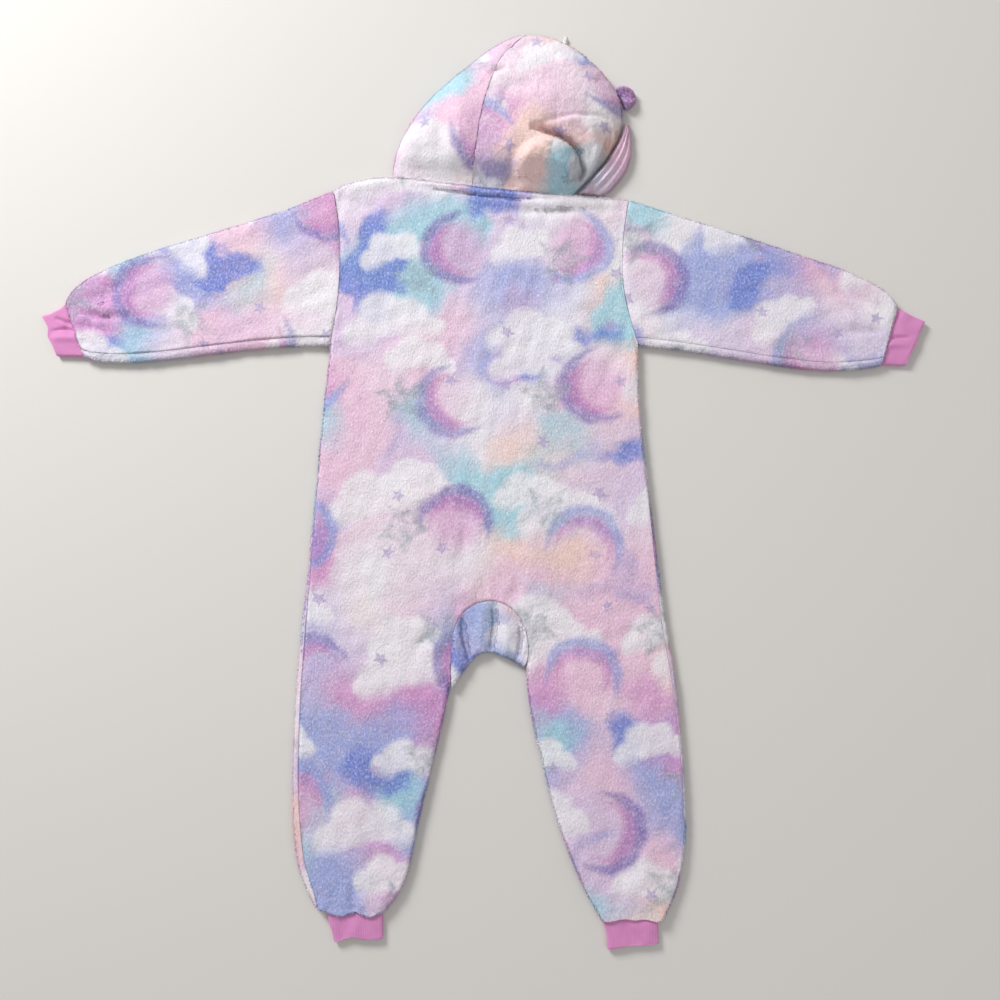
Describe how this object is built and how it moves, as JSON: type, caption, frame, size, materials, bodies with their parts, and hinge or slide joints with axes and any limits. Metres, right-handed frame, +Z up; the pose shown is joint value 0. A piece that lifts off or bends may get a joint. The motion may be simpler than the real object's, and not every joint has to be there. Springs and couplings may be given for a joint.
{
  "type": "unicorn onesie",
  "caption": "Child's hooded one-piece plush fleece suit with ears, a small horn, ribbed cuffs and a front zip, lying flat on its front, back up.",
  "frame": {"origin": "middle of the suit's box in plan, on the surface that it lies on", "axes": "+Z up out of the suit's back, +Y towards the hood, +X to the wearer's right sleeve"},
  "size_m": [1.013, 1.0389, 0.0452],
  "materials": {
    "fleece": "soft short-pile plush fleece printed in pastel cloud colours",
    "rib": "orchid pink knitted rib",
    "white_plush": "white plush",
    "zip_tape": "woven pink tape",
    "zip_teeth": "moulded pink coil",
    "zip_metal": "plain bright metal"
  },
  "bodies": {
    "garment": {"back": "fleece", "front_left": "fleece", "front_right": "fleece", "crotch_gusset": "fleece", "sleeve_left": "fleece", "sleeve_right": "fleece", "wrist_cuff_left": "rib", "wrist_cuff_right": "rib", "ankle_cuff_left": "rib", "ankle_cuff_right": "rib", "hood_left": "fleece", "hood_right": "fleece", "hood_layers": "fleece", "hood_hem": "fleece", "horn": "white_plush", "ear_left": "fleece", "ear_right": "fleece", "zip_tape_left": "zip_tape", "zip_tape_right": "zip_tape", "zip_teeth": "zip_teeth", "zip_slider": "zip_metal"},
    "zip_pull": {"zip_pull": "zip_metal"}
  },
  "joints": [
    {"name": "zip_pull_swing", "type": "hinge", "parent": "garment", "child": "zip_pull", "pos_m": [-0.0026, 0.296, 0.0016], "axis": [0.9997, 0.0248, 0], "range_deg": [0, 180]}
  ]
}
